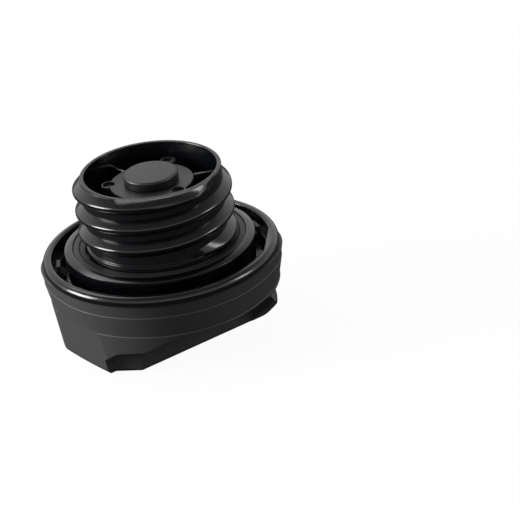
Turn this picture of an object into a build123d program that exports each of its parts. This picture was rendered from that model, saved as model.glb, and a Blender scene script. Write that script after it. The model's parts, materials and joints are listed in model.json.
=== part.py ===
from build123d import *
import os
from math import cos, radians, sin, sqrt, tan

# Screw-in fuel filler cap, key-locking type. Millimetres.
# +Z is the cap's axis and points to the threaded end. The flat outer face of the grip bar lies on z = 0,
# and the bar runs along X.

# ---------------------------------------------------------------- driving dimensions
# levels along the axis
deck_level = 15.7          # lower edge of the skirt, where the finger scoops start
skirt_height = 13.0        # lower edge of the skirt to the lip plane
lip_level = deck_level + skirt_height
rim_gap = 1.4              # lip plane down to the top of the shell's wall
band_height = 4.2          # raised band round the top of the skirt

# handle shell
skirt_draft = 8.2          # degrees, wall between its two ledges
foot_draft = 3.9           # degrees, below the skirt
ledge = 0.3                # each ledge stands this far out
ledge_height = 0.35
ledge_break = 0.2
lip_overhang = 1.2         # lip's outside past the wall's upper ledge
wing_growth = 0.068        # the wide corners stand out by this share of the height
wing_azimuth = -36.0       # direction of the wide corners
wing_spread = 34.0         # degrees to each side where a wide corner fades out
outline_points = 36
deck_thickness = 2.2
bar_half_width = 17.0
bar_half_length = 32.9     # at z = 0
bar_end_round = 200.0      # plan radius of the bar's ends
bar_end_draft = 6.6        # degrees
bar_end_offset = 2.8       # the end's round is centred this far off the bar's axis
corner_cut_x = 23.5        # the cut corner runs from here on the side ...
corner_cut_y = 11.0        # ... to here on the end
scoop_root = 6.0           # height of the bar's side below the scoop
scoop_slope = 32.4         # degrees, roof of the finger scoop
wing_side_x = 20.5         # the wide corner starts here on the bar's side
wing_side_lean = 24.0      # degrees from the Y axis
bow_radius = 35.25         # widest radius of the right foot
bow_level = 7.0            # height of that radius
bow_start = 29.0           # its underside is flat up to this radius
neck_radius_low = 33.4     # bottom of the groove over that foot
neck_level = 11.3
neck_start = -64.0         # azimuths between which the groove runs
neck_end = -14.0
bar_edge_round = 1.5
wing_edge_round = 3.0      # outer edge of the wide corners
bar_wall = 2.6

# lip ring
lip_width = 3.0            # radial, inner edge to outside
lip_ledge = 0.8            # the shell's wall shows this much inside the lip's spigot
lip_rise = 1.9             # highest point over the lip plane
lip_spigot = 0.9           # radial thickness of the part that sits inside the shell's wall
lip_spigot_depth = 2.6
lip_flat_azimuths = (-44.0, -72.0)   # the inner edge has two flats
lip_flat_reach = 33.95

# threaded closure
tube_radius = 22.6
tube_wall = 1.4
tube_height = 28.3         # rim over the lip plane
thread_depth = 2.65
thread_pitch = 7.3
thread_crest = 1.1         # axial width of a turn's crest ...
thread_base = 5.9          # ... and of its foot on the tube
thread_turns = 3.07
thread_top_azimuth = -78.0
thread_top_drop = 1.15     # rim down to the centre of the last turn
thread_rim_slope = 1.6     # the last turn fades into the rim along a cone, height for radius
neck_wall = 0.6            # the tube's foot is thicker by this
gasket_room = 0.5          # neck to gasket
gasket_width = 4.2
gasket_bead_width = 2.3    # raised outer part of the gasket
gasket_bead_rise = 0.4
gasket_thickness = 1.7
gasket_depth = 1.9
groove_wall = 0.35         # flange outside the gasket's groove
flange_bevel = 2.3
flange_edge_rise = 3.6     # over the lip plane
flange_step_rise = 4.3
flange_thickness = 3.0
flange_overhang = 0.4      # flange past the skirt below it
floor_thickness = 2.2
closure_skirt_wall = 1.0
closure_bead_width = 1.8
closure_bead_height = 1.4
closure_skirt_drop = 6.0   # lip plane down to the closure skirt's foot
ratchet_teeth = 36
ratchet_depth = 0.8

# valve hub
hub_radius = 11.6
hub_wall = 1.4
hub_top_drop = 6.0         # rim down to the hub
web_count = 3
web_thickness = 1.1
web_azimuth = -26.0
web_top_drop = 4.3
cover_overhang = 1.8       # cover past the hub
cover_thickness = 1.9
cover_top_drop = 4.0
cover_lugs = ((35.0, 15.6), (141.0, 13.6), (-82.0, 12.2))   # azimuth and radius
lug_radius = 2.6
lug_cup_radius = 2.0
lug_cup_depth = 0.9
button_radius = 8.7
button_height = 3.1
button_wall = 1.2
button_stem_radius = 2.2
vent_count = 6
vent_radius = 1.1
vent_circle = 4.2          # radius of the circle of vents under the button
spigot_wall = 1.2          # cover's collar inside the hub
spigot_depth = 2.5
seat_wall = 1.4            # valve seat under the cover
seat_gap = 0.8             # seal's opening to the seat
plate_radius = 9.0
plate_thickness = 1.6
pressure_travel = 1.5
pressure_wire = 0.9
pressure_coil_radius = 7.2
pressure_coils = 6.0
seal_inner_radius = 5.6
seal_thickness = 0.9
vacuum_disc_radius = 4.4
vacuum_stem_radius = 1.2
vacuum_bore_radius = 1.9
vacuum_travel = 1.2
vacuum_wire = 0.5
vacuum_coil_radius = 2.4
vacuum_coils = 5.0
vacuum_stem_length = 7.6

# drive ring and ratchet
drive_wall = 3.4
drive_height = 5.5
drive_notches = 12
notch_width = 6.4
notch_depth = 2.7
washer_thickness = 0.7
pawl_count = 3
pawl_thickness = 0.5
pawl_height = 3.0
pawl_room = 0.8            # drive ring to the tips of the ratchet's teeth
pawl_span = 46.0           # degrees
wave_thickness = 0.5
hook_count = 9
hook_azimuth = -54.0
hook_width = 5.0
hook_thickness = 1.2
hook_gap = 0.5             # closure's bead to hook
hook_room = 1.3            # hook to lip
barb_height = 1.8

# lock
key_hole_radius = 7.4
key_hole_depth = 1.6
barrel_radius = 9.0
barrel_bore_radius = 6.55
barrel_length = 20.1
boss_wall = 2.4
boss_top = 20.7
plug_radius = 6.5
plug_head_recess = 0.8     # plug face above the bar's flat face
plug_tail = 0.6            # plug end past the barrel
keyway_width = 2.2
keyway_height = 8.6
keyway_depth = 16.5
wafer_count = 5
wafer_pitch = 2.6
wafer_thickness = 1.0
wafer_width = 5.0
wafer_length = 10.8
wafer_window = 6.4
wafer_first = 4.6
snap_ring_thickness = 0.8
snap_ring_reach = 1.4      # past the barrel
snap_ring_opening = 4.4
oring_wire = 1.3
cam_radius = 6.2
cam_thickness = 1.8
cam_tang = 3.0
cam_tang_depth = 1.0
cam_pin_radius = 1.2
cam_pin_throw = 2.2
cam_turn = 90.0            # degrees that the key turns
bolt_width = 5.0
bolt_thickness = 2.0
bolt_gap = 0.5             # tip to drive ring when drawn back
bolt_head_edge = 2.0       # metal round the head's slot
rail_width = 3.4
rail_length = 10.0
rail_setback = 0.7         # drawn-back bolt's tip to the rails' end
guide_leg = 1.4
cover_plate_thickness = 1.1
screw_radius = 0.9
screw_length = 4.0         # under the cover
screw_head_radius = 1.7
screw_head_height = 0.7
screw_slot_width = 0.5
screw_slot_length = 2.2

# clearances
fit_gap = 0.05             # turning and sliding fits
play = 0.15                # pieces that pass each other
loose = 0.3                # wide clearances


# ---------------------------------------------------------------- helpers
def polar(radius, azimuth):
    """Plan point at a radius and an azimuth in degrees."""
    return (radius * cos(radians(azimuth)), radius * sin(radians(azimuth)))


def disc(radius, bottom, height):
    """Upright cylinder on the cap's axis."""
    return Pos(0, 0, bottom) * Cylinder(radius, height, align=(Align.CENTER, Align.CENTER, Align.MIN))


def softened_disc(radius, bottom, height, softness=0.3):
    """Upright cylinder with its upper edge rounded."""
    body = disc(radius, bottom, height)
    return fillet(body.faces().sort_by(Axis.Z)[-1].edges(), softness)


def ring(outer, inner, bottom, height):
    """Upright tube on the cap's axis."""
    return disc(outer, bottom, height) - disc(inner, bottom - 1, height + 2)


def block(x0, x1, y0, y1, z0, z1):
    """Box between two corners."""
    return Pos((x0 + x1) / 2, (y0 + y1) / 2, (z0 + z1) / 2) * Box(x1 - x0, y1 - y0, z1 - z0)


def turned(points):
    """Solid of revolution of a closed outline given as (radius, z) points."""
    outline = Plane.XZ * make_face(Polyline(*points, close=True))
    return revolve(outline, Axis.Z)


def prism(points, bottom, height):
    """Upright prism of a closed plan outline."""
    outline = Pos(0, 0, bottom) * make_face(Polyline(*points, close=True))
    return extrude(outline, height)


def half_turned(points):
    """Plan points and the same points turned by half a turn about the axis."""
    return list(points) + [(-x, -y) for x, y in points]


def coil(wire, coil_radius, bottom, height, turns):
    """Helical spring between two heights."""
    rise = height - wire
    path = Helix(rise / turns, rise, coil_radius, center=(0, 0, bottom + wire / 2))
    section = Plane(path @ 0, z_dir=path % 0) * Circle(wire / 2)
    return sweep(section, path, is_frenet=True)


def save(shape, name):
    """Write one piece to its own file."""
    export_step(shape, f"parts/{name}.step")


# ---------------------------------------------------------------- radii, from the tube outwards
thread_crest_radius = tube_radius + thread_depth
neck_radius = tube_radius + neck_wall
gasket_inner_radius = neck_radius + gasket_room
gasket_outer_radius = gasket_inner_radius + gasket_width
groove_radius = gasket_outer_radius + fit_gap
flange_step_radius = groove_radius + groove_wall
flange_radius = flange_step_radius + flange_bevel
closure_skirt_radius = flange_radius - flange_overhang
tooth_root_radius = closure_skirt_radius - closure_skirt_wall
tooth_tip_radius = tooth_root_radius - ratchet_depth
drive_outer_radius = tooth_tip_radius - pawl_room
drive_inner_radius = drive_outer_radius - drive_wall
bolt_reach = drive_inner_radius - bolt_gap
rail_end = bolt_reach - rail_setback
rail_start = rail_end - rail_length
closure_bead_radius = closure_skirt_radius + closure_bead_width
hook_inner_radius = closure_bead_radius + hook_gap
lip_inner_radius = hook_inner_radius + hook_thickness + hook_room
lip_radius = lip_inner_radius + lip_width
shell_inner_radius = lip_inner_radius - lip_ledge
cover_radius = hub_radius + cover_overhang

# ---------------------------------------------------------------- levels
rim_level = lip_level - rim_gap
band_level = rim_level - band_height
deck_top = deck_level + deck_thickness
wall_top_radius = lip_radius - lip_overhang
band_top_radius = wall_top_radius - ledge + band_height * tan(radians(skirt_draft))
foot_top_radius = wall_top_radius + ledge - (band_level - deck_level) * tan(radians(skirt_draft))
foot_radius = foot_top_radius - deck_level * tan(radians(foot_draft))
barrel_bottom = key_hole_depth
barrel_top = barrel_bottom + barrel_length
plug_top = barrel_top + plug_tail
cam_bottom = plug_top + 0.1
cam_top = cam_bottom + cam_thickness
bolt_bottom = cam_top + play
bolt_top = bolt_bottom + bolt_thickness
cover_plate_bottom = bolt_top + 0.1
closure_foot = lip_level - closure_skirt_drop
flange_top = lip_level + flange_edge_rise
flange_bottom = flange_top - flange_thickness
floor_bottom = lip_level + 0.1
floor_top = floor_bottom + floor_thickness
rim_top = lip_level + tube_height
thread_foot = lip_level + flange_step_rise + loose
thread_top = rim_top - thread_top_drop
web_top = rim_top - web_top_drop
cover_top = rim_top - cover_top_drop
hub_top = rim_top - hub_top_drop
drive_bottom = closure_foot - 0.6
drive_top = drive_bottom + drive_height
washer_bottom = drive_bottom - 0.1 - washer_thickness
oring_level = (barrel_bottom + boss_top) / 2
cam_rest_angle = 90.0 + cam_turn / 2
cam_pin_foot = cam_bottom + cam_tang_depth + 0.1
pawl_level = drive_bottom + (drive_height - pawl_height) / 2
seat_level = hub_top - 2.9
plate_bottom = seat_level - 0.04 - seal_thickness - 0.02 - plate_thickness


# ---------------------------------------------------------------- handle shell
def section_reach(level, radius):
    """Radius of a section at the middle of a wide corner."""
    return radius + wing_growth * level


def section(level, radius):
    """Plan outline of the skirt at a level: round, but for the two wide corners."""
    points = []
    for index in range(outline_points):
        azimuth = 360 * index / outline_points
        off = abs((azimuth - wing_azimuth + 90) % 180 - 90)
        share = cos(radians(90 * min(1, off / wing_spread))) ** 2
        reach = radius + (section_reach(level, radius) - radius) * share
        points.append(polar(reach, azimuth))
    return Pos(0, 0, level) * make_face(Spline(*points, periodic=True))


def storey(bottom, top, bottom_radius, top_radius):
    """One drafted storey of the shell's outside, its top edge broken."""
    shoulder = section(top - ledge_break, top_radius)
    top_face = section(top, top_radius - ledge_break)
    return loft([section(bottom, bottom_radius), shoulder, top_face], ruled=True)


def end_trim(side):
    """Leaning face that ends the bar below the skirt: its lower edge is round, and it runs out over the ledge."""
    top = deck_level + ledge_height
    head = bar_end_round + top * tan(radians(bar_end_draft))
    face = make_face(Polyline(
        (0, 0), (bar_end_round, 0), (head, top), (head + rim_level - top, rim_level), (0, rim_level),
        close=True))
    face = fillet(face.vertices().group_by(Axis.Y)[0].sort_by(Axis.X)[-1], wing_edge_round)
    trim = revolve(Plane.XZ * face, Axis.Z)
    return Pos(side * (bar_half_length - bar_end_round), -side * bar_end_offset, 0) * trim


def bar_side_outline(reach):
    """Half of the bar's plan outline, from one cut corner along the side to the far end."""
    return [
        (-reach, -corner_cut_y),
        (-corner_cut_x - (bar_half_width - corner_cut_y), -corner_cut_y),
        (-corner_cut_x, -bar_half_width),
        (reach, -bar_half_width),
    ]


def scoop_roof():
    """Solid over the scoops: the bar's outline, growing with height at the slope of the scoop's roof."""
    rise = deck_level - scoop_root
    spread = rise / tan(radians(scoop_slope))
    reach = 3 * lip_radius
    lower = make_face(Polyline(*half_turned(bar_side_outline(reach)), close=True))
    upper = offset(lower, spread, kind=Kind.INTERSECTION)
    return loft([Pos(0, 0, scoop_root) * lower, Pos(0, 0, deck_level) * upper], ruled=True)


def wing_foot(side):
    """Foot of one wide corner: its underside rises outwards at 45 degrees from the bar's rounded edge."""
    reach = 2 * lip_radius
    lean = reach * tan(radians(wing_side_lean))
    outline = [
        (side * wing_side_x, 0),
        (side * wing_side_x, -side * bar_half_width),
        (side * (wing_side_x + lean), -side * (bar_half_width + reach)),
        (side * (reach + lean), -side * (bar_half_width + reach)),
        (side * (reach + lean), 0),
    ]
    foot = prism(outline, 0, deck_level)
    toe = bar_edge_round * (2 - sqrt(2)) - bar_half_width
    wedge = make_face(Polyline((toe + 1, -1), (toe - reach, reach), (toe - reach, -1), close=True))
    under = extrude(Plane.YZ * wedge, reach)
    if side < 0:
        under = Rot(0, 0, 180) * under
    return foot - under


def neck_groove():
    """Groove over the right foot, sloping out to the skirt's lower edge."""
    outer = lip_radius + 10
    edge = section_reach(deck_level, foot_top_radius)
    face = make_face(Polyline(
        (neck_radius_low, neck_level), (outer, neck_level), (outer, deck_level), (edge, deck_level),
        close=True))
    return Rot(0, 0, neck_start) * revolve(Plane.XZ * face, Axis.Z, revolution_arc=neck_end - neck_start)


def foot_limit(side, profile):
    """Limit that shapes the outside of one wide corner's foot and leaves the rest of the shell free."""
    reach = 2 * lip_radius
    free = block(-reach, bow_start * 0.4, -reach, reach, -1, reach)
    if side < 0:
        free = Rot(0, 0, 180) * free
    return revolve(Plane.XZ * make_face(profile), Axis.Z) + free


def bow():
    """Profile of the right foot, which rounds up and out like a bow, and turns in under the groove."""
    reach = 2 * lip_radius
    frame = Polyline(
        (neck_radius_low, neck_level), (reach, neck_level), (reach, reach), (0, reach), (0, 0),
        (bow_start, 0))
    curve = Spline(
        (bow_start, 0), (bow_radius - 2.45, bow_level - 4.4), (bow_radius - 0.75, bow_level - 2.0),
        (bow_radius, bow_level), (bow_radius - 0.35, bow_level + 1.9), (bow_radius - 1.05, bow_level + 3.3),
        (neck_radius_low, neck_level), tangents=((1, 0), (-1, 0.8)))
    return [frame, curve]


def quarter_round():
    """Profile of the left foot, with a plain round edge."""
    reach = 2 * lip_radius
    outer = section_reach(wing_edge_round, foot_radius) + wing_edge_round * tan(radians(foot_draft))
    inner = outer - wing_edge_round
    height = wing_edge_round
    frame = Polyline((outer, height), (reach, height), (reach, reach), (0, reach), (0, 0), (inner, 0))
    return [frame, RadiusArc((inner, 0), (outer, height), -height)]


def shell_outside():
    """Outer form of the handle: band, skirt, wide corners and grip bar with its finger scoops."""
    foot = storey(0, deck_level + ledge_height, foot_radius, foot_top_radius)
    wall = storey(deck_level + ledge_height, band_level, foot_top_radius - ledge, wall_top_radius)
    band = storey(band_level, rim_level, wall_top_radius - ledge, band_top_radius)
    outside = (foot + wall + band) & end_trim(1) & end_trim(-1)
    bar = prism(half_turned(bar_side_outline(3 * lip_radius)), 0, scoop_root)
    bar = fillet(bar.faces().sort_by(Axis.Z)[0].edges(), bar_edge_round)
    keep = bar + scoop_roof() + wing_foot(1) + wing_foot(-1) + disc(2 * lip_radius, deck_level, 40)
    return outside & keep


def shell_bar_hollow():
    """Inside of the grip bar."""
    end = bar_half_length - bar_wall - 0.8
    side = bar_half_width - bar_wall
    outline = half_turned([
        (-end, -corner_cut_y + bar_wall / 2),
        (-corner_cut_x + bar_wall / 2, -side),
        (end - 1, -side),
    ])
    return prism(outline, bar_wall, deck_top - bar_wall)


def snap_hook(azimuth):
    """Hook on the shell's deck that holds the closure's bead down."""
    inner = hook_inner_radius
    top = lip_level - 0.4
    arm = block(inner, inner + hook_thickness, -hook_width / 2, hook_width / 2, deck_top - 0.5, top)
    barb_bottom = closure_foot + closure_bead_height + loose
    barb = Plane.XZ * make_face(Polyline(
        (inner + 0.1, barb_bottom),
        (closure_bead_radius - 1.0, barb_bottom),
        (inner + 0.1, barb_bottom + barb_height),
        close=True))
    barb = extrude(barb, hook_width / 2, both=True)
    return Rot(0, 0, azimuth) * (arm + barb)


def handle_shell():
    outside = shell_outside()
    outside = outside & foot_limit(1, bow()) & foot_limit(-1, quarter_round())
    outside = outside - neck_groove()
    room = disc(shell_inner_radius, deck_top, 40)
    rebate = disc(lip_inner_radius + lip_spigot + fit_gap, rim_level - lip_spigot_depth - fit_gap, 40)
    shell = outside - room - rebate
    boss = disc(barrel_radius + boss_wall, 0, boss_top)
    ribs = block(-bar_half_length + 4, bar_half_length - 4, -0.8, 0.8, 1, deck_top)
    hollow = shell_bar_hollow() - boss - ribs
    shell = shell - hollow + boss
    land_height = washer_bottom - 0.1 - deck_level - 1
    land = ring(drive_outer_radius, drive_inner_radius + 0.6, deck_level + 1, land_height)
    shell = shell + land
    guide_width = bolt_width / 2 + rail_width
    guide_top = cover_plate_bottom - fit_gap
    guide = block(rail_start, rail_end, -guide_width, guide_width, deck_level + 1, guide_top)
    channel = bolt_width / 2 + fit_gap
    guide = guide - block(rail_start - 1, rail_end + 1, -channel, channel, bolt_bottom - fit_gap, rim_level)
    for side in (1, -1):
        leg_y = side * (guide_width - guide_leg / 2)
        leg = block(rail_start, rail_end, -guide_leg / 2, guide_leg / 2, 1, deck_top)
        guide = guide + Pos(0, leg_y, 0) * leg
    shell = shell + guide
    for x, y in screw_points():
        hole = disc(screw_radius + fit_gap, cover_plate_bottom - screw_length - play, 10)
        shell = shell - Pos(x, y, 0) * hole
    for index in range(hook_count):
        shell = shell + snap_hook(hook_azimuth + index * 360 / hook_count)
    shell = shell - disc(barrel_radius + fit_gap, barrel_bottom, 60) - disc(key_hole_radius, -1, 10)
    return shell


def screw_points():
    """Plan points of the two screws that hold the bolt's cover."""
    middle = (rail_start + rail_end) / 2
    off = bolt_width / 2 + rail_width / 2 + 0.1
    return [(middle, off), (middle, -off)]


# ---------------------------------------------------------------- lip ring
def retaining_ring():
    """Glossy rounded lip with a spigot that sits in the shell's wall."""
    top = lip_level + lip_rise
    seat = rim_level + fit_gap
    spigot = lip_inner_radius + lip_spigot
    foot = rim_level - lip_spigot_depth
    crown = make_face([
        Polyline((lip_inner_radius, lip_level + 1.2), (lip_inner_radius, foot), (spigot, foot),
                 (spigot, seat), (lip_radius - 0.5, seat), (lip_radius - 0.1, lip_level - 0.6)),
        Spline((lip_radius - 0.1, lip_level - 0.6), (lip_radius, lip_level + 0.1),
               (lip_radius - 1.1, top - 0.25), (lip_inner_radius + 0.9, top),
               (lip_inner_radius, lip_level + 1.2)),
    ])
    body = revolve(Plane.XZ * crown, Axis.Z)
    for azimuth in lip_flat_azimuths:
        flat = disc(lip_inner_radius + 0.1, rim_level, lip_level + 1.2 - rim_level)
        flat = flat - block(-60, lip_flat_reach, -60, 60, 0, 60)
        body = body + Rot(0, 0, azimuth) * flat
    return body


# ---------------------------------------------------------------- lock
def lock_housing():
    """Barrel that the lock plug turns in, with grooves for its seal and its snap ring."""
    body = ring(barrel_radius, barrel_bore_radius, barrel_bottom, barrel_length)
    groove_bottom = oring_level - oring_wire * 0.7
    seal_groove = ring(barrel_radius + 1, barrel_radius - oring_wire, groove_bottom, oring_wire * 1.4)
    clip_groove = ring(barrel_radius + 1, barrel_radius - 0.8, boss_top + fit_gap, snap_ring_thickness + 0.1)
    return body - seal_groove - clip_groove


def lock_oring():
    centre_radius = barrel_radius - oring_wire / 2 + fit_gap - 0.02
    return Pos(0, 0, oring_level) * Torus(centre_radius, oring_wire / 2 - 0.02)


def lock_snap_ring():
    """Open spring ring that keeps the barrel in the shell's boss."""
    body = ring(barrel_radius + snap_ring_reach, barrel_radius - 0.7, boss_top + 0.08, snap_ring_thickness)
    opening = snap_ring_opening / 2
    return body - block(0, 20, -opening, opening, boss_top - 1, boss_top + 3)


def wafer_levels():
    """Lower faces of the wafers."""
    return [wafer_first + index * wafer_pitch for index in range(wafer_count)]


def lock_plug():
    """Turning core with its keyway, its wafer slots and a square tang for the cam."""
    head = disc(key_hole_radius - play, plug_head_recess, key_hole_depth - plug_head_recess - fit_gap)
    core = disc(plug_radius, plug_head_recess, plug_top - plug_head_recess)
    half = cam_tang / 2
    tang = block(-half, half, -half, half, plug_top - 1, cam_bottom + cam_tang_depth)
    plug = head + core + tang
    plug = plug - block(-keyway_width / 2, keyway_width / 2, -keyway_height / 2, keyway_height / 2,
                        -1, plug_head_recess + keyway_depth)
    slot_x = wafer_width / 2 + play
    slot_y = wafer_length / 2 + play
    for level in wafer_levels():
        slot_top = level + wafer_thickness + fit_gap
        plug = plug - block(-slot_x, slot_x, -slot_y, slot_y, level - fit_gap, slot_top)
    return plug


def lock_wafers():
    """Row of brass wafers, each with its key window."""
    wafers = []
    half_x = wafer_width / 2
    half_y = wafer_length / 2
    window_x = keyway_width / 2 + loose
    window_y = wafer_window / 2
    for level in wafer_levels():
        plate = block(-half_x, half_x, -half_y, half_y, level, level + wafer_thickness)
        window = block(-window_x, window_x, -window_y, window_y, level - 1, level + 3)
        wafers.append(plate - window)
    return Compound(children=wafers)


def lock_cam():
    """Disc on the plug's tang that carries the drive pin."""
    body = disc(cam_radius, cam_bottom, cam_thickness)
    half = cam_tang / 2 + fit_gap
    body = body - block(-half, half, -half, half, cam_bottom - 1, cam_bottom + cam_tang_depth + fit_gap)
    x, y = polar(cam_pin_throw, cam_rest_angle)
    return body - Pos(x, y, 0) * disc(cam_pin_radius + 0.01, cam_pin_foot, 10)


def cam_pin():
    x, y = polar(cam_pin_throw, cam_rest_angle)
    return Pos(x, y, 0) * disc(cam_pin_radius, cam_pin_foot, bolt_top - 0.1 - cam_pin_foot)


def locking_bolt():
    """Sliding bolt that couples the handle to the drive ring."""
    start_x = polar(cam_pin_throw, cam_rest_angle)[0]
    slot_half = cam_pin_radius + play
    slot_low = cam_pin_throw * sin(radians(cam_rest_angle)) - cam_pin_radius - 2 * play
    slot_high = cam_pin_throw + cam_pin_radius + 2 * play
    head_start = start_x - slot_half - bolt_head_edge
    head = block(head_start, 5, -bolt_width / 2, slot_high + bolt_head_edge, bolt_bottom, bolt_top)
    blade = block(0, bolt_reach, -bolt_width / 2, bolt_width / 2, bolt_bottom, bolt_top)
    slot = block(start_x - slot_half, start_x + slot_half, slot_low, slot_high, bolt_bottom - 1, bolt_top + 1)
    return head + blade - slot


def bolt_cover():
    """Plate over the bolt's guide."""
    width = bolt_width / 2 + rail_width
    plate_top = cover_plate_bottom + cover_plate_thickness
    plate = block(rail_start, rail_end, -width, width, cover_plate_bottom, plate_top)
    for x, y in screw_points():
        plate = plate - Pos(x, y, 0) * disc(screw_radius + play, cover_plate_bottom - 1, 5)
    return plate


def bolt_cover_screws():
    screws = []
    seat = cover_plate_bottom + cover_plate_thickness + 0.02
    foot = cover_plate_bottom - screw_length
    slot_x = screw_slot_length / 2
    slot_y = screw_slot_width / 2
    for x, y in screw_points():
        shank = disc(screw_radius, foot, seat + 0.1 - foot)
        head = disc(screw_head_radius, seat, screw_head_height)
        slot = block(-slot_x, slot_x, -slot_y, slot_y, seat + screw_head_height * 0.4, lip_level)
        screws.append(Pos(x, y, 0) * (shank + head - slot))
    return Compound(children=screws)


# ---------------------------------------------------------------- drive ring and ratchet
def thrust_washer():
    return ring(drive_outer_radius, drive_inner_radius + 0.6, washer_bottom, washer_thickness)


def drive_ring():
    """Ring that the bolt drives, notched inside and carrying the ratchet pawls outside."""
    body = ring(drive_outer_radius, drive_inner_radius, drive_bottom, drive_height)
    notch = block(drive_inner_radius - 2, drive_inner_radius + notch_depth, -notch_width / 2, notch_width / 2,
                  drive_bottom - 1, drive_top + 1)
    for index in range(drive_notches):
        body = body - Rot(0, 0, index * 360 / drive_notches) * notch
    return body


def ratchet_pawls():
    """Leaf springs on the drive ring that ride over the closure's ratchet teeth."""
    pawls = []
    inner = drive_outer_radius + 0.02
    middle = Pos(inner + pawl_thickness / 2, pawl_level + pawl_height / 2)
    face = Plane.XZ * middle * Rectangle(pawl_thickness, pawl_height)
    leaf = revolve(face, Axis.Z, revolution_arc=pawl_span)
    for index in range(pawl_count):
        pawls.append(Rot(0, 0, index * 360 / pawl_count) * leaf)
    return Compound(children=pawls)


def wave_spring():
    """Spring washer between the drive ring and the closure."""
    room = flange_bottom - drive_top
    low = drive_top + 0.05
    return turned([
        (drive_inner_radius + notch_depth - 1.9, low + room * 0.55),
        (drive_outer_radius - 0.4, low),
        (drive_outer_radius - 0.4, low + wave_thickness),
        (drive_inner_radius + notch_depth - 1.9, low + room * 0.55 + wave_thickness),
    ])


# ---------------------------------------------------------------- threaded closure
def thread_ridge():
    """One right-hand thread ridge with sloping flanks, wound round the tube and fading into its rim."""
    crest = thread_crest / 2
    base = thread_base / 2
    sunk = -tube_wall / 2
    rise = thread_pitch * thread_turns
    path = Helix(thread_pitch, rise, tube_radius, center=(0, 0, thread_top - rise))
    face = make_face(Polyline(
        (sunk, base), (0, base), (thread_depth, crest), (thread_depth, -crest), (0, -base), (sunk, -base),
        close=True))
    face = fillet(face.vertices().group_by(Axis.X)[-1], thread_crest * 0.45)
    section = Plane(origin=path @ 0, x_dir=(1, 0, 0), z_dir=path % 0) * face
    ridge = Rot(0, 0, thread_top_azimuth - 360 * thread_turns) * sweep(section, path, is_frenet=True)
    height = rim_top - thread_foot
    limit = Cone(tube_radius + height / thread_rim_slope, tube_radius, height,
                 align=(Align.CENTER, Align.CENTER, Align.MIN))
    return ridge & Pos(0, 0, thread_foot) * limit


def closure_skirt():
    """Skirt under the flange, toothed inside for the ratchet, with the bead that the shell's hooks hold."""
    height = flange_bottom + 0.5 - closure_foot
    wall = ring(closure_skirt_radius, tooth_root_radius, closure_foot, height)
    bead = ring(closure_bead_radius, closure_skirt_radius - 0.5, closure_foot, closure_bead_height)
    pitch = 360 / ratchet_teeth
    tooth = prism([
        polar(tooth_root_radius + 0.1, 0),
        polar(tooth_tip_radius, 0.1 * pitch),
        polar(tooth_root_radius + 0.1, 0.9 * pitch),
    ], closure_foot, height)
    skirt = wall + bead
    for index in range(ratchet_teeth):
        skirt = skirt + Rot(0, 0, index * pitch) * tooth
    return skirt


def flange_plate():
    """Flange with its bevelled edge and the groove for the gasket."""
    step = lip_level + flange_step_rise
    plate = turned([
        (0, flange_bottom),
        (closure_skirt_radius, flange_bottom),
        (flange_radius, flange_bottom + flange_overhang),
        (flange_radius, flange_top - 0.3),
        (flange_radius - 0.3, flange_top),
        (flange_step_radius, step),
        (0, step),
    ])
    groove = ring(groove_radius, neck_radius - 0.1, step - gasket_depth, 10)
    return plate - groove


def threaded_body():
    """Closure: tube with its thread, floor, flange, ratchet skirt, valve hub and webs."""
    bore = tube_radius - tube_wall
    tube = ring(tube_radius, bore, floor_bottom, rim_top - floor_bottom)
    tube = chamfer(tube.faces().sort_by(Axis.Z)[-1].edges().sort_by(SortBy.RADIUS)[-1], 0.5)
    body = flange_plate() - disc(bore, floor_top, 20)
    body = body + tube + ring(neck_radius, tube_radius - 0.3, floor_bottom, flange_step_rise + 1.0)
    body = body + thread_ridge()
    body = body - disc(bore, floor_top, 60) - disc(60, rim_top, 20)
    body = body + ring(hub_radius, hub_radius - hub_wall, floor_top - 0.2, hub_top - floor_top + 0.2)
    web = block(hub_radius - 0.5, bore + 0.3, -web_thickness / 2, web_thickness / 2, floor_top - 0.2, web_top)
    for index in range(web_count):
        body = body + Rot(0, 0, web_azimuth + index * 360 / web_count) * web
    body = body - disc(cover_radius + play, hub_top, 20)
    body = body + closure_skirt()
    vent = Pos(hub_radius - hub_wall - 3.2, 0, 0) * disc(1.4, floor_bottom - 1, floor_thickness + 2)
    for index in range(4):
        body = body - Rot(0, 0, 45 + 90 * index) * vent
    return body - disc(tooth_tip_radius - loose, 0, floor_bottom)


def gasket():
    """Ring seal lying in the flange's groove, with a raised bead outside the thread."""
    bottom = lip_level + flange_step_rise - gasket_depth
    body = ring(gasket_outer_radius, gasket_inner_radius, bottom, gasket_thickness - gasket_bead_rise)
    bead = ring(gasket_outer_radius, gasket_outer_radius - gasket_bead_width, bottom, gasket_thickness)
    return fillet((body + bead).faces().sort_by(Axis.Z)[-1].edges(), gasket_bead_rise / 2)


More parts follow.
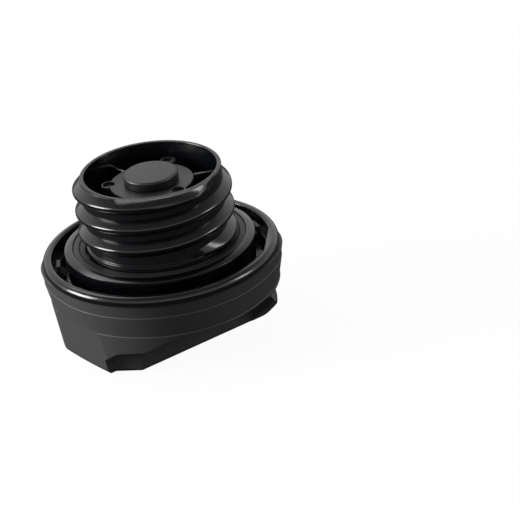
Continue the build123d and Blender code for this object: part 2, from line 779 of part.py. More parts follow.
# ---------------------------------------------------------------- valve
def valve_cover():
    """Disc on the hub with three dished clip lugs, a spigot and the valve seat."""
    bottom = cover_top - cover_thickness
    body = softened_disc(cover_radius, bottom, cover_thickness)
    for azimuth, radius in cover_lugs:
        x, y = polar(radius, azimuth)
        body = body + Pos(x, y, 0) * softened_disc(lug_radius, bottom, cover_thickness)
    for azimuth, radius in cover_lugs:
        x, y = polar(radius, azimuth)
        body = body - Pos(x, y, 0) * disc(lug_cup_radius, cover_top - lug_cup_depth, 5)
    spigot = hub_radius - hub_wall - fit_gap
    collar_foot = hub_top - spigot_depth
    body = body + ring(spigot, spigot - spigot_wall, collar_foot, bottom + 0.1 - collar_foot)
    seat_radius = seal_inner_radius + seat_gap
    body = body + ring(seat_radius + seat_wall, seat_radius, seat_level, bottom - seat_level + 0.1)
    vent = Pos(vent_circle, 0, 0) * disc(vent_radius, bottom - 1, 5)
    for index in range(vent_count):
        body = body - Rot(0, 0, index * 360 / vent_count) * vent
    return body - disc(button_stem_radius + fit_gap, bottom - 1, 6)


def valve_button():
    """Round cap over the vents, held by its stem."""
    bottom = cover_top + 0.05
    body = softened_disc(button_radius, bottom, button_height, 0.45)
    room = disc(button_radius - button_wall, bottom - 1, button_height - button_wall + 1)
    stem = disc(button_stem_radius, bottom - cover_thickness - 0.6, button_height + cover_thickness)
    barb = disc(button_stem_radius + 0.5, bottom - cover_thickness - 1.0, 0.8)
    return body - room + stem + barb


def pressure_plate():
    """Valve plate pressed up against the seat."""
    body = disc(plate_radius, plate_bottom, plate_thickness)
    land_outer = pressure_coil_radius - pressure_wire / 2 - 0.15
    spring_land = ring(land_outer, pressure_coil_radius - 2, plate_bottom - 1.2, 1.3)
    return body + spring_land - disc(vacuum_bore_radius, plate_bottom - 3, 10)


def pressure_seal():
    return ring(plate_radius - 0.3, seal_inner_radius, plate_bottom + plate_thickness + 0.02, seal_thickness)


def pressure_spring():
    bottom = floor_top + 0.05
    return coil(pressure_wire, pressure_coil_radius, bottom, plate_bottom - 0.05 - bottom, pressure_coils)


def vacuum_valve():
    """Small disc over the hole in the valve plate, with its stem."""
    bottom = plate_bottom + plate_thickness + 0.02
    stem_bottom = bottom - vacuum_stem_length
    stem = disc(vacuum_stem_radius, stem_bottom, vacuum_stem_length + 0.5)
    body = disc(vacuum_disc_radius, bottom, 1.0) + stem
    groove = ring(vacuum_stem_radius + 1, vacuum_stem_radius - 0.4, stem_bottom + 0.5, 0.7)
    return body - groove


def vacuum_clip():
    """Spring plate clipped into the stem's groove."""
    bottom = plate_bottom + plate_thickness + 0.02 - vacuum_stem_length + 0.55
    return ring(vacuum_coil_radius + 0.9, vacuum_stem_radius - 0.35, bottom, 0.6)


def vacuum_spring():
    bottom = plate_bottom + plate_thickness + 0.02 - vacuum_stem_length + 1.2
    return coil(vacuum_wire, vacuum_coil_radius, bottom, plate_bottom - 0.05 - bottom, vacuum_coils)


PIECES = [
    handle_shell, retaining_ring, lock_housing, lock_oring, lock_snap_ring, bolt_cover, bolt_cover_screws,
    thrust_washer, lock_plug, lock_wafers, lock_cam, cam_pin, locking_bolt, drive_ring, ratchet_pawls,
    wave_spring, threaded_body, gasket, valve_cover, valve_button, pressure_spring, pressure_plate,
    pressure_seal, vacuum_spring, vacuum_valve, vacuum_clip,
]


def main():
    os.makedirs("parts", exist_ok=True)
    for piece in PIECES:
        save(piece(), piece.__name__)


if __name__ == "__main__":
    main()
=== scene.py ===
# %% [markdown]
# # A screw-in fuel filler cap
# The cap stands on its grip bar with the thread up. Its solids come from the frame at full size, and
# this lesson gives them their finish: the parts that are seen up close are modelled again with soft
# edges and fine steps, and the rest keep their solids and get a material. Blender works in metres, the
# sizes below are in millimetres, and MM turns one into the other.

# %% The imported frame
import bpy
import bmesh
import json
from math import cos, pi, radians, sin
from mathutils import Matrix, Vector


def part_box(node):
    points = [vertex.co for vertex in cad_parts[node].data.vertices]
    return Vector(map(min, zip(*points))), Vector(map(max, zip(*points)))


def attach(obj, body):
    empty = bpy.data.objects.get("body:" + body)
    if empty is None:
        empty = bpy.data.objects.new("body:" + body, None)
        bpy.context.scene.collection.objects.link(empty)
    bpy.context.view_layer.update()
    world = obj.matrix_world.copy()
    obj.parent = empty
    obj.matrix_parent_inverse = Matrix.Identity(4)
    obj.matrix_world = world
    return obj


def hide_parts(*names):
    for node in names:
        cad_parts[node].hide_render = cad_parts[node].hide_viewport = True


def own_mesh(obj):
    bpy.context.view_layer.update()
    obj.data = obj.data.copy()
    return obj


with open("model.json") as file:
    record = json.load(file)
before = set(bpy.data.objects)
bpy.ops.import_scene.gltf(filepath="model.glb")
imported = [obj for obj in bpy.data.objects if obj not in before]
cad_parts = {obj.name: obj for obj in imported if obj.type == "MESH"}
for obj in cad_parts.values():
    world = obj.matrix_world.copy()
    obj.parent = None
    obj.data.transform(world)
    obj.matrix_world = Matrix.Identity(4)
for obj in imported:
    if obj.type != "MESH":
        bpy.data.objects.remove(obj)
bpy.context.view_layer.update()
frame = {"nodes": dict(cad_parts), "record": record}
MM = 0.001
bpy.ops.object.select_all(action="DESELECT")

# %% [markdown]
# ## Colours and nodes
# A colour is written as the hex value that a screen shows. Blender counts light, so one function turns
# each value to linear. Another adds one node with its settings and its links, so that each material
# below reads as a short list. A noise's scale is its cells per metre, and it is written as cells per
# millimetre over MM.

# %% Helpers for materials
def linear(code):
    channels = [int(code[i:i + 2], 16) / 255 for i in (1, 3, 5)]
    return [c / 12.92 if c <= 0.04045 else ((c + 0.055) / 1.055) ** 2.4 for c in channels] + [1.0]


def node(tree, kind, values={}, links={}, **settings):
    made = tree.nodes.new(kind)
    for name, value in settings.items():
        setattr(made, name, value)
    for socket, value in values.items():
        made.inputs[socket].default_value = value
    for socket, source in links.items():
        tree.links.new(source, made.inputs[socket])
    return made


def material(name):
    made = bpy.data.materials.new(name)
    made.use_nodes = True
    made.node_tree.nodes.clear()
    return made, made.node_tree


def finish_with(tree, shader):
    node(tree, "ShaderNodeOutputMaterial", links={"Surface": shader.outputs[0]})


# %% [markdown]
# ## Spark-eroded nylon: the handle's shell
# Glass-filled nylon from a mould with an eroded texture is charcoal and dull, and its fine grain breaks
# every highlight into a soft glow. A fine noise moves the height and the tint, and a wide noise changes
# the roughness a little, as flow marks do.

# %% Textured nylon
NYLON_GRAIN_PER_MM = 3.4
NYLON_FLOW_PER_MM = 0.09


def textured_nylon():
    made, tree = material("textured nylon")
    place = node(tree, "ShaderNodeTexCoord")
    grain = node(tree, "ShaderNodeTexNoise",
                 {"Scale": NYLON_GRAIN_PER_MM / MM, "Detail": 3.0, "Roughness": 0.6},
                 {"Vector": place.outputs["Object"]})
    flow = node(tree, "ShaderNodeTexNoise", {"Scale": NYLON_FLOW_PER_MM / MM, "Detail": 2.0},
                {"Vector": place.outputs["Object"]})
    rough = node(tree, "ShaderNodeMapRange", {"To Min": 0.52, "To Max": 0.66},
                 {"Value": flow.outputs["Fac"]})
    tint = node(tree, "ShaderNodeMix", {"A": linear("#2c2c2c"), "B": linear("#373736")},
                {"Factor": grain.outputs["Fac"]}, data_type="RGBA")
    bump = node(tree, "ShaderNodeBump", {"Strength": 0.35, "Distance": 0.05 * MM},
                {"Height": grain.outputs["Fac"]})
    shader = node(tree, "ShaderNodeBsdfPrincipled", {"IOR": 1.53, "Specular IOR Level": 0.5},
                  {"Base Color": tint.outputs["Result"], "Roughness": rough.outputs["Result"],
                   "Normal": bump.outputs["Normal"]})
    finish_with(tree, shader)
    return made


# %% [markdown]
# ## Polished acetal: the lip, the tube and its thread
# Black acetal from a polished mould is glossy: the colour is near black with a little blue in it, and
# the highlights are clear. A wide, weak noise in the height gives the slow waviness of shrunk plastic,
# and a finer one in the roughness gives a faint haze.

# %% Polished acetal
POLISH_WAVES_PER_MM = 0.16
POLISH_HAZE_PER_MM = 0.7


def polished_acetal():
    made, tree = material("polished black acetal")
    place = node(tree, "ShaderNodeTexCoord")
    waves = node(tree, "ShaderNodeTexNoise", {"Scale": POLISH_WAVES_PER_MM / MM, "Detail": 1.0},
                 {"Vector": place.outputs["Object"]})
    haze = node(tree, "ShaderNodeTexNoise", {"Scale": POLISH_HAZE_PER_MM / MM, "Detail": 3.0},
                {"Vector": place.outputs["Object"]})
    rough = node(tree, "ShaderNodeMapRange", {"To Min": 0.15, "To Max": 0.25},
                 {"Value": haze.outputs["Fac"]})
    bump = node(tree, "ShaderNodeBump", {"Strength": 0.15, "Distance": 0.4 * MM},
                {"Height": waves.outputs["Fac"]})
    shader = node(tree, "ShaderNodeBsdfPrincipled", {"Base Color": linear("#050609"), "IOR": 1.48},
                  {"Roughness": rough.outputs["Result"], "Normal": bump.outputs["Normal"]})
    finish_with(tree, shader)
    return made


# %% [markdown]
# ## Satin acetal: the valve cover and its button
# The same plastic from a mould that was only stoned is dark grey, with wide soft highlights. One noise
# does for both the haze and the faint relief that the stone leaves.

# %% Satin acetal
SATIN_HAZE_PER_MM = 1.8


def satin_acetal():
    made, tree = material("satin black acetal")
    place = node(tree, "ShaderNodeTexCoord")
    haze = node(tree, "ShaderNodeTexNoise", {"Scale": SATIN_HAZE_PER_MM / MM, "Detail": 3.0},
                {"Vector": place.outputs["Object"]})
    rough = node(tree, "ShaderNodeMapRange", {"To Min": 0.38, "To Max": 0.48},
                 {"Value": haze.outputs["Fac"]})
    bump = node(tree, "ShaderNodeBump", {"Strength": 0.12, "Distance": 0.03 * MM},
                {"Height": haze.outputs["Fac"]})
    shader = node(tree, "ShaderNodeBsdfPrincipled", {"Base Color": linear("#101113"), "IOR": 1.48},
                  {"Roughness": rough.outputs["Result"], "Normal": bump.outputs["Normal"]})
    finish_with(tree, shader)
    return made


# %% [markdown]
# ## The hidden and small finishes
# Moulded rubber is black and dull, natural acetal is milky white, die-cast zinc and spring wire are
# metals with a cast or drawn surface, and the wafers are stamped brass. One function serves them,
# because they differ only in colour, roughness, metal and the size of their grain.

# %% Plain finishes
GRAIN_PER_CELL = 0.6         # the grain that is seen is narrower than the noise's cell
GRAIN_RELIEF = 0.08          # height of the grain as a share of its width


def plain_finish(name, colours, roughness, metallic, grain_mm, ior=1.5):
    made, tree = material(name)
    place = node(tree, "ShaderNodeTexCoord")
    grain = node(tree, "ShaderNodeTexNoise", {"Scale": GRAIN_PER_CELL / (grain_mm * MM), "Detail": 3.0},
                 {"Vector": place.outputs["Object"]})
    tint = node(tree, "ShaderNodeMix", {"A": linear(colours[0]), "B": linear(colours[1])},
                {"Factor": grain.outputs["Fac"]}, data_type="RGBA")
    rough = node(tree, "ShaderNodeMapRange", {"To Min": roughness[0], "To Max": roughness[1]},
                 {"Value": grain.outputs["Fac"]})
    bump = node(tree, "ShaderNodeBump", {"Strength": 0.2, "Distance": grain_mm * MM * GRAIN_RELIEF},
                {"Height": grain.outputs["Fac"]})
    shader = node(tree, "ShaderNodeBsdfPrincipled", {"Metallic": metallic, "IOR": ior},
                  {"Base Color": tint.outputs["Result"], "Roughness": rough.outputs["Result"],
                   "Normal": bump.outputs["Normal"]})
    finish_with(tree, shader)
    return made


FINISHES = {
    "shell_plastic": textured_nylon(),
    "gloss_plastic": polished_acetal(),
    "hub_plastic": satin_acetal(),
    "rubber": plain_finish("moulded nitrile rubber", ("#0b0b0b", "#121212"), (0.5, 0.62), 0.0, 0.3, 1.52),
    "acetal": plain_finish("natural acetal", ("#dad8cd", "#e4e2d8"), (0.35, 0.45), 0.0, 0.5, 1.48),
    "lock_zinc": plain_finish("die-cast zinc", ("#9b9d9f", "#b2b4b6"), (0.38, 0.55), 1.0, 0.4),
    "lock_plug_metal": plain_finish("satin nickel plating", ("#b9b7b0", "#cac8c2"), (0.25, 0.35), 1.0, 0.3),
    "brass": plain_finish("stamped brass", ("#b8964c", "#c8a65c"), (0.28, 0.4), 1.0, 0.3),
    "spring_steel": plain_finish("drawn spring steel", ("#8d8f93", "#a2a4a8"), (0.25, 0.38), 1.0, 0.2),
}
print("finishes:", [m.name for m in FINISHES.values()])

# %% [markdown]
# ## A finish for every solid
# The record names a material slot for each solid. All solids get the finish of their slot here, also
# those that a modelled piece stands for later, so that none is left without one.

# %% Finishes of the solids
SLOT_OF = {part["node"]: part["material_slot"] for part in frame["record"]["subparts"]}
for name, solid in frame["nodes"].items():
    solid.data.materials.clear()
    solid.data.materials.append(FINISHES[SLOT_OF[name]])
print("solids with a finish:", len(frame["nodes"]))

# %% [markdown]
# ## Where heights start
# Heights are written over the lip's plane, because the lip, the flange and the thread all sit on it.
# The tube's rim is the highest point of its solid, and the lip's plane lies a known height below it.

# %% The lip's plane
RIM = 28.3                   # tube's rim over the lip's plane
LIP = round(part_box("threaded_body")[1][2] / MM - RIM, 2)
print("lip's plane in mm:", LIP)

# %% [markdown]
# ## Turning a round piece
# Most of this cap is round about one axis. A circle is added at the first point of the outline, its
# edge is extruded from point to point and scaled to each new radius, and the last loop is bridged to
# the first, or both are filled where the piece is closed at the axis. The outline is given in
# millimetres, as radius and height, and an edge that is sharp there is softened afterwards by a small
# bevel.

# %% Turned pieces
def turned_piece(name, outline, segments=192, hollow=True):
    radius, height = outline[0]
    bpy.ops.mesh.primitive_circle_add(vertices=segments, radius=radius * MM,
                                      location=(0, 0, (LIP + height) * MM))
    piece = bpy.context.object
    piece.name = name
    bpy.ops.object.transform_apply(location=True)
    bpy.ops.object.mode_set(mode="EDIT")
    bpy.ops.mesh.select_all(action="SELECT")
    for (r0, z0), (r1, z1) in zip(outline, outline[1:]):
        bpy.ops.mesh.extrude_edges_move(TRANSFORM_OT_translate={"value": (0, 0, (z1 - z0) * MM)})
        bpy.ops.transform.resize(value=(r1 / r0, r1 / r0, 1), center_override=(0, 0, (LIP + z1) * MM))
    bpy.ops.mesh.select_all(action="DESELECT")
    bpy.ops.mesh.select_mode(type="EDGE")
    bpy.ops.mesh.select_non_manifold()
    if hollow:
        bpy.ops.mesh.bridge_edge_loops()
    else:
        bpy.ops.mesh.fill_holes(sides=0)
    bpy.ops.mesh.select_all(action="SELECT")
    bpy.ops.mesh.normals_make_consistent(inside=False)
    bpy.ops.object.mode_set(mode="OBJECT")
    return piece


def arc(centre_r, centre_z, radius, start, stop, steps):
    angles = [radians(start + (stop - start) * i / steps) for i in range(steps + 1)]
    return [(centre_r + radius * cos(angle), centre_z + radius * sin(angle)) for angle in angles]


# %% [markdown]
# ## Soft edges, shading and hand-over
# A moulded edge is never quite sharp, so each piece gets a narrow bevel and is shaded smooth up to an
# angle. Then it is given its finish, the body that it moves with, and the solid that it stands for. A
# piece is turned about the cap's axis in edit mode, where the operator turns the other way without a
# window.

# %% Helpers for every piece
def apply_modifier(piece, kind, **settings):
    bpy.context.view_layer.objects.active = piece
    step = piece.modifiers.new(kind.lower(), kind)
    for name, value in settings.items():
        setattr(step, name, value)
    bpy.ops.object.modifier_apply(modifier=step.name)


def soften(piece, width, segments=3, angle=28):
    apply_modifier(piece, "BEVEL", width=width * MM, segments=segments, limit_method="ANGLE",
                   angle_limit=radians(angle), use_clamp_overlap=True)


def shade(piece, angle=35):
    bpy.ops.object.select_all(action="DESELECT")
    piece.select_set(True)
    bpy.context.view_layer.objects.active = piece
    bpy.ops.object.shade_smooth_by_angle(angle=radians(angle))
    bpy.ops.object.select_all(action="DESELECT")


def merge_points(piece):
    bpy.context.view_layer.objects.active = piece
    bpy.ops.object.mode_set(mode="EDIT")
    bpy.ops.mesh.select_all(action="SELECT")
    bpy.ops.mesh.remove_doubles(threshold=1e-7)
    bpy.ops.object.mode_set(mode="OBJECT")


def turn(piece, degrees):
    bpy.context.view_layer.objects.active = piece
    bpy.ops.object.mode_set(mode="EDIT")
    bpy.ops.mesh.select_all(action="SELECT")
    bpy.ops.transform.rotate(value=-radians(degrees), orient_axis="Z", center_override=(0, 0, 0))
    bpy.ops.object.mode_set(mode="OBJECT")


def finished(piece, body, slot, *stands_for):
    piece.data.materials.clear()
    piece.data.materials.append(FINISHES[slot])
    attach(piece, body)
    if stands_for:
        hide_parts(*stands_for)
    bpy.ops.object.select_all(action="DESELECT")
    print(piece.name, "faces:", len(piece.data.polygons))


# %% [markdown]
# ## The closure
# Tube, floor, valve hub, flange and skirt are one moulding, so one outline runs through all of them:
# from the middle of the floor up and over the hub, down into the deep ring of space, up and over the
# tube's rim, down to the groove for the seal, out over the bevelled flange and down the skirt with its
# snap bead. The ratchet's teeth inside the skirt and the four vents in the floor under the hub are
# hidden inside the cap, so they are left to the solid.

# %% Closure
CENTRE = 0.6                 # the outline starts this far from the axis, and the rest is filled
HUB_BORE, HUB = 10.2, 11.6
TUBE_BORE, TUBE = 21.2, 22.6
NECK = 23.2
GROOVE = 27.95
STEP, FLANGE = 28.3, 30.6
SKIRT_BORE, SKIRT, BEAD = 29.2, 30.2, 32.0
FLOOR_LOW, FLOOR_TOP = 0.1, 2.3
HUB_TOP = 22.3
NECK_TOP = 5.0
NECK_SLOPE = 0.3
GROOVE_FLOOR = 2.4
STEP_TOP, FLANGE_TOP, FLANGE_LOW = 4.3, 3.6, 0.6
STEP_BREAK, FLANGE_BREAK = 0.05, 0.4
BEAD_TOP, SKIRT_FOOT = -4.6, -6.0
RIM_BREAK = 0.35
BORE_BREAK, BORE_BREAK_DEPTH = 0.15, 0.1

closure = turned_piece("closure_moulding", [
    (CENTRE, FLOOR_TOP), (HUB_BORE, FLOOR_TOP), (HUB_BORE, HUB_TOP), (HUB, HUB_TOP), (HUB, FLOOR_TOP),
    (TUBE_BORE, FLOOR_TOP), (TUBE_BORE, RIM - BORE_BREAK_DEPTH), (TUBE_BORE + BORE_BREAK, RIM),
    (TUBE - RIM_BREAK, RIM), (TUBE, RIM - RIM_BREAK), (TUBE, NECK_TOP + NECK_SLOPE), (NECK, NECK_TOP),
    (NECK, GROOVE_FLOOR), (GROOVE, GROOVE_FLOOR), (GROOVE, STEP_TOP - STEP_BREAK), (STEP, STEP_TOP),
    (FLANGE, FLANGE_TOP), (FLANGE, FLANGE_LOW + FLANGE_BREAK), (SKIRT, FLANGE_LOW), (SKIRT, BEAD_TOP),
    (BEAD, BEAD_TOP), (BEAD, SKIRT_FOOT), (SKIRT_BORE, SKIRT_FOOT), (SKIRT_BORE, FLANGE_LOW),
    (NECK, FLANGE_LOW), (NECK, FLOOR_LOW), (CENTRE, FLOOR_LOW)], hollow=False)
soften(closure, 0.12, 2, 30)
shade(closure)
finished(closure, "closure", "gloss_plastic", "threaded_body")

# %% [markdown]
# ## The thread
# One ridge winds round the tube, right-handed. Its section is a low trapezoid: a circle of four points
# that are set to its corners, which the Screw modifier winds. The solid's ridge ends abruptly, but a
# moulded thread fades out, so here the points are drawn in towards the tube near both ends, and at the
# rim they stay inside a cone. A bevel then rounds the long edges, which carry the thin lines of light,
# and two planes trim what stands over the rim or comes down to the flange's step.

# %% Section of the thread
PITCH = 7.3
CREST, ROOT = 25.25, 22.45
CREST_HALF, ROOT_HALF = 0.55, 2.95       # half the section's width at its crest and at its root
THREAD_START, THREAD_END = -1183.2, -62.0
START_HEIGHT = 4.74          # middle of the section where it starts
TURNS = (THREAD_END - THREAD_START) / 360
STEPS = 440
CORNERS = ((ROOT, ROOT_HALF), (ROOT, -ROOT_HALF), (CREST, -CREST_HALF), (CREST, CREST_HALF))

bpy.ops.mesh.primitive_circle_add(vertices=len(CORNERS), radius=MM, fill_type="NGON")
ridge = bpy.context.object
ridge.name = "thread_ridge"
for point, (radius, height) in zip(ridge.data.vertices, CORNERS):
    point.co = (radius * MM, 0, (LIP + START_HEIGHT + height) * MM)
apply_modifier(ridge, "SCREW", angle=2 * pi * TURNS, screw_offset=PITCH * TURNS * MM, iterations=1,
               steps=STEPS, render_steps=STEPS, axis="Z", use_normal_calculate=True)
print("turns of the thread:", round(TURNS, 2))

# %% Ends of the thread
RIM_FADE, STEP_FADE = 30, 45             # degrees over which each end fades out
RIM_SLOPE = 1.6              # the cone at the rim, radius for height
THREAD_LOW = 4.6             # just over the flange's step


def eased(share):
    share = max(0, min(1, share))
    return share * share * (3 - 2 * share)


for point in ridge.data.vertices:
    azimuth = THREAD_START + (point.index // len(CORNERS)) / STEPS * (THREAD_END - THREAD_START)
    share = eased((THREAD_END - azimuth) / RIM_FADE) * eased((azimuth - THREAD_START) / STEP_FADE)
    radius = point.co.xy.length
    limit = (TUBE + RIM_SLOPE * (LIP + RIM - point.co.z / MM)) * MM
    drawn = min(ROOT * MM + (radius - ROOT * MM) * share, max(limit, ROOT * MM))
    point.co.xy *= drawn / radius
merge_points(ridge)
turn(ridge, THREAD_START)
soften(ridge, 0.4, 4, 24)
bpy.ops.object.mode_set(mode="EDIT")
for level, outside in ((RIM, True), (THREAD_LOW, False)):
    bpy.ops.mesh.select_all(action="SELECT")
    bpy.ops.mesh.bisect(plane_co=(0, 0, (LIP + level) * MM), plane_no=(0, 0, 1), use_fill=True,
                        clear_outer=outside, clear_inner=not outside)
bpy.ops.mesh.select_all(action="SELECT")
bpy.ops.mesh.normals_make_consistent(inside=False)
bpy.ops.object.mode_set(mode="OBJECT")
shade(ridge, 50)
finished(ridge, "closure", "gloss_plastic", "threaded_body")

# %% [markdown]
# ## The webs
# Three thin webs stiffen the hub against the tube, and their tops catch the light. One is stretched
# from a cube, softened, and copied with a mesh of its own for each of the others. Each is then turned
# to its place.

# %% Webs
WEB_COUNT = 3
WEB_AZIMUTH = -26.0
WEB_LENGTH, WEB_THICKNESS, WEB_HEIGHT = 7.9, 1.1, 21.9
WEB_MIDDLE = 17.5            # radius of its middle
WEB_TOP = 24.0

bpy.ops.mesh.primitive_cube_add(size=1, location=(0, 0, 0))
webs = [bpy.context.object]
webs[0].name = "web_1"
bpy.ops.object.mode_set(mode="EDIT")
bpy.ops.mesh.select_all(action="SELECT")
bpy.ops.transform.resize(value=(WEB_LENGTH * MM, WEB_THICKNESS * MM, WEB_HEIGHT * MM),
                         center_override=(0, 0, 0))
bpy.ops.transform.translate(value=(WEB_MIDDLE * MM, 0, (LIP + WEB_TOP - WEB_HEIGHT / 2) * MM))
bpy.ops.object.mode_set(mode="OBJECT")
soften(webs[0], 0.25, 3)
shade(webs[0])
for index in range(1, WEB_COUNT):
    webs.append(bpy.data.objects.new(f"web_{index + 1}", webs[0].data.copy()))
    bpy.context.scene.collection.objects.link(webs[index])
for index, web in enumerate(webs):
    turn(web, WEB_AZIMUTH + 360 / WEB_COUNT * index)
    finished(web, "closure", "gloss_plastic", "threaded_body")

# %% [markdown]
# ## The lip
# The glossy lip is a ring with a rounded crown on a thin spigot. Its inner edge is round but for two
# flats, so the points near each flat are moved to it, and the move fades out towards the crown.

# %% Lip
LIP_BORE, SPIGOT, SHOULDER = 35.0, 35.9, 37.5
SPIGOT_FOOT, SHOULDER_LOW = -4.0, -1.35
SHOULDER_BREAK = (0.35, 0.45)
CROWN_CENTRE, CROWN_ROUND = 36.1, 1.9
INNER_ROUND = 0.85
FLATS = (-44.0, -72.0)
FLAT_REACH = 33.95           # axis to each flat
FLAT_EDGE, FLAT_FADE = 35.4, 0.4         # points inside this radius move, and less so near it
FLAT_FOOT = -1.5
FLAT_SPREAD = 14.0           # degrees to each side

crown = [(LIP_BORE, 0.9), (LIP_BORE, SPIGOT_FOOT), (SPIGOT, SPIGOT_FOOT), (SPIGOT, SHOULDER_LOW),
         (SHOULDER, SHOULDER_LOW), (SHOULDER + SHOULDER_BREAK[0], SHOULDER_LOW + SHOULDER_BREAK[1])]
crown += arc(CROWN_CENTRE, 0.0, CROWN_ROUND, -8, 90, 14)
crown += arc(LIP_BORE + INNER_ROUND, CROWN_ROUND - INNER_ROUND, INNER_ROUND, 90, 170, 6)
lip = turned_piece("lip_ring", crown, 256)
bpy.ops.object.mode_set(mode="EDIT")
mesh = bmesh.from_edit_mesh(lip.data)
moved = 0
for azimuth in FLATS:
    toward = Vector((cos(radians(azimuth)), sin(radians(azimuth)), 0))
    for point in mesh.verts:
        gap = FLAT_REACH * MM - point.co.dot(toward)
        radius = point.co.xy.length
        inner = radius < FLAT_EDGE * MM and point.co.z > (LIP + FLAT_FOOT) * MM
        if inner and gap < 0 and point.co.xy.angle(toward.xy) < radians(FLAT_SPREAD):
            point.co += toward * gap * min(1, (FLAT_EDGE * MM - radius) / (FLAT_FADE * MM))
            moved += 1
bmesh.update_edit_mesh(lip.data)
bpy.ops.object.mode_set(mode="OBJECT")
print("points moved to the flats:", moved)
soften(lip, 0.1, 2, 40)
shade(lip, 50)
finished(lip, "handle", "gloss_plastic", "retaining_ring")

# %% [markdown]
# ## The seal
# The seal is a flat rubber ring with a raised outer bead, and it lies in the flange's groove. It is
# turned like the closure, and its bevel is rounder, as moulded rubber is.

# %% Seal
SEAL_BORE, SEAL_SIDE = 23.7, 27.88
SEAL_FOOT, SEAL_FACE, SEAL_TOP = 2.43, 3.7, 4.1
SEAL_BEAD_INNER, SEAL_BEAD_SLOPE, SEAL_BEAD_FOOT = 25.95, 0.4, 0.02
SEAL_BREAK, SEAL_BREAK_WIDTH, SEAL_CHAMFER = 0.25, 0.28, 0.3
seal = turned_piece("seal_ring", [
    (SEAL_BORE, SEAL_FOOT), (SEAL_SIDE, SEAL_FOOT), (SEAL_SIDE, SEAL_TOP - SEAL_BREAK),
    (SEAL_SIDE - SEAL_BREAK_WIDTH, SEAL_TOP), (SEAL_BEAD_INNER, SEAL_TOP),
    (SEAL_BEAD_INNER - SEAL_BEAD_SLOPE, SEAL_FACE + SEAL_BEAD_FOOT), (SEAL_BORE + SEAL_CHAMFER, SEAL_FACE),
    (SEAL_BORE, SEAL_FACE - SEAL_BREAK)])
soften(seal, 0.12, 3, 20)
shade(seal)
finished(seal, "closure", "rubber", "gasket")

# %% [markdown]
# ## The button
# The button on the valve cover is a shallow cap with a soft upper edge. Only the cap is turned: its
# stem and barb, which the cover hides, are left to the solid. The cover itself keeps its solid, with
# its three dished lugs.

# %% Button
BUTTON_CENTRE = 0.5
BUTTON_BORE, BUTTON = 7.5, 8.7
BUTTON_FOOT, BUTTON_ROOF, BUTTON_TOP = 24.35, 26.25, 27.45
BUTTON_BREAK = 0.45
button = turned_piece("button_cap", [
    (BUTTON_CENTRE, BUTTON_ROOF), (BUTTON_BORE, BUTTON_ROOF), (BUTTON_BORE, BUTTON_FOOT),
    (BUTTON, BUTTON_FOOT), (BUTTON, BUTTON_TOP - BUTTON_BREAK), (BUTTON - BUTTON_BREAK, BUTTON_TOP),
    (BUTTON_CENTRE, BUTTON_TOP)], 160, hollow=False)
soften(button, 0.25, 4, 20)
shade(button)
finished(button, "closure", "hub_plastic", "valve_button")

# %% [markdown]
# ## The two coil springs
# A merged copy of each solid stands for it, with a mesh of its own. The copy is not shortened, so a
# rigid coil would poke through the plate that presses on it.


def shortening_spring(name, body):
    spring = bpy.data.objects.new(name + "_coil", frame["nodes"][name].data.copy())
    bpy.context.scene.collection.objects.link(spring)
    merge_points(spring)
    shade(spring, 40)
    finished(spring, body, "spring_steel", name)
    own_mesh(spring)


shortening_spring("pressure_spring", "closure")
shortening_spring("vacuum_spring", "pressure_valve")

# %% [markdown]
# ## The floor and the world
# The cap stands on a white table in a white room. The camera sees both white, by their own glow.
# Reflections see the floor at a twentieth of that glow, and the world white near the horizon and darker
# towards the top, because black plastic in an all-white room turns grey. The light that falls on the
# cap is the lamps', and a weak fill from the world.

# %% Floor
FLOOR_SIZE = 4.0             # metres
FLOOR_GLOW = 0.95
FLOOR_IN_REFLECTIONS = 0.05
bpy.ops.mesh.primitive_plane_add(size=FLOOR_SIZE, location=(0, 0, 0))
floor = bpy.context.object
floor.name = "floor"
paper, tree = material("white sweep")
path = node(tree, "ShaderNodeLightPath")
dimmed = node(tree, "ShaderNodeMath", {1: FLOOR_IN_REFLECTIONS}, {0: path.outputs["Is Glossy Ray"]},
              operation="MULTIPLY")
clear = node(tree, "ShaderNodeMath", operation="MAXIMUM",
             links={0: path.outputs["Is Camera Ray"], 1: path.outputs["Is Transmission Ray"]})
seen = node(tree, "ShaderNodeMath", links={0: clear.outputs[0], 1: dimmed.outputs[0]}, operation="MAXIMUM")
glow = node(tree, "ShaderNodeEmission", {"Color": (1, 1, 1, 1), "Strength": FLOOR_GLOW})
matt = node(tree, "ShaderNodeBsdfDiffuse", {"Color": linear("#404040")})
both = node(tree, "ShaderNodeAddShader", links={0: glow.outputs[0], 1: matt.outputs[0]})
mixed = node(tree, "ShaderNodeMixShader",
             links={0: seen.outputs[0], 1: matt.outputs[0], 2: both.outputs[0]})
finish_with(tree, mixed)
floor.data.materials.append(paper)
print("floor in metres:", FLOOR_SIZE)

# %% World
SWEEP_LOW, SWEEP_HIGH = 0.4, 0.8         # sines of the heights between which reflections turn darker
SWEEP_TOP = 0.1
FILL = 0.2
world = bpy.data.worlds.new("studio")
bpy.context.scene.world = world
world.use_nodes = True
tree = world.node_tree
tree.nodes.clear()
path = node(tree, "ShaderNodeLightPath")
way = node(tree, "ShaderNodeTexCoord")
upward = node(tree, "ShaderNodeSeparateXYZ", links={0: way.outputs["Generated"]})
sweep = node(tree, "ShaderNodeMapRange",
             {"From Min": SWEEP_LOW, "From Max": SWEEP_HIGH, "To Min": 1.0, "To Max": SWEEP_TOP},
             {"Value": upward.outputs["Z"]}, interpolation_type="SMOOTHSTEP")
mirrored = node(tree, "ShaderNodeMath", operation="MULTIPLY",
                links={0: sweep.outputs[0], 1: path.outputs["Is Glossy Ray"]})
clear = node(tree, "ShaderNodeMath", operation="MAXIMUM",
             links={0: path.outputs["Is Camera Ray"], 1: path.outputs["Is Transmission Ray"]})
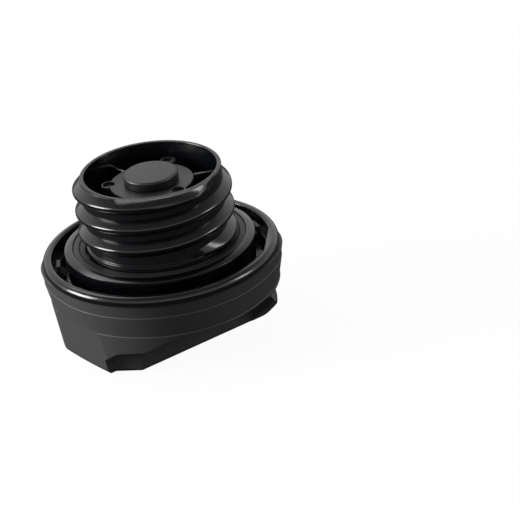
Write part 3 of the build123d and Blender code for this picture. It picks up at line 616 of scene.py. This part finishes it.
seen = node(tree, "ShaderNodeMath", operation="MAXIMUM",
            links={0: clear.outputs[0], 1: mirrored.outputs[0]})
fill = node(tree, "ShaderNodeBackground", {"Color": (1, 1, 1, 1), "Strength": FILL})
white = node(tree, "ShaderNodeBackground", {"Color": (1, 1, 1, 1), "Strength": 1.0})
both = node(tree, "ShaderNodeMixShader",
            links={0: seen.outputs[0], 1: fill.outputs[0], 2: white.outputs[0]})
node(tree, "ShaderNodeOutputWorld", links={"Surface": both.outputs[0]})
print("world:", world.name)

# %% [markdown]
# ## Lamps
# Three soft lamps face the cap, and each is wide, so that its highlights are broad. The strong one, at
# the left, runs along the rims, one above and behind lights the flat tops, and a weak one comes from
# the right.

# %% Lamps
CAP_MIDDLE = Vector((0, 0, 0.03))


def soft_light(name, place, size, watts):
    bpy.ops.object.light_add(type="AREA", location=place)
    lamp = bpy.context.object
    lamp.name = name
    lamp.data.shape = "RECTANGLE"
    lamp.data.size, lamp.data.size_y = size
    lamp.data.energy = watts
    lamp.rotation_euler = (Vector(place) - CAP_MIDDLE).to_track_quat("Z", "Y").to_euler()
    print("lamp:", name, watts, "W")


soft_light("key", (-0.85, 0.5, 0.35), (0.5, 0.5), 18.0)
soft_light("overhead", (0.1, 0.5, 0.8), (0.7, 0.5), 3.0)
soft_light("side", (0.75, -0.7, 0.5), (0.3, 0.4), 3.5)

# %% [markdown]
# ## Camera
# The camera is a long lens that looks down from slightly above. It is rolled a little, so that the cap
# leans in the frame, and the view transform is the plain one, at which a colour renders as it is
# written.

# %% Camera
CAMERA_PLACE = Vector((-0.4350, -0.6853, 0.4186))
CAMERA_FORWARD = Vector((0.5098, 0.7390, -0.4404))
CAMERA_ROLL = -6.87
CAMERA_LENS, CAMERA_SENSOR = 194.8, 36.0
bpy.ops.object.camera_add(location=CAMERA_PLACE)
camera = bpy.context.object
level = CAMERA_FORWARD.to_track_quat("-Z", "Y")
camera.rotation_euler = (level.to_matrix() @ Matrix.Rotation(radians(CAMERA_ROLL), 3, "Z")).to_euler()
camera.data.lens = CAMERA_LENS
camera.data.sensor_width = CAMERA_SENSOR
camera.data.clip_start = 0.05
bpy.context.scene.camera = camera
bpy.context.scene.view_settings.view_transform = "Standard"
print("camera to the cap in metres:", round((CAMERA_PLACE - CAP_MIDDLE).length, 2))
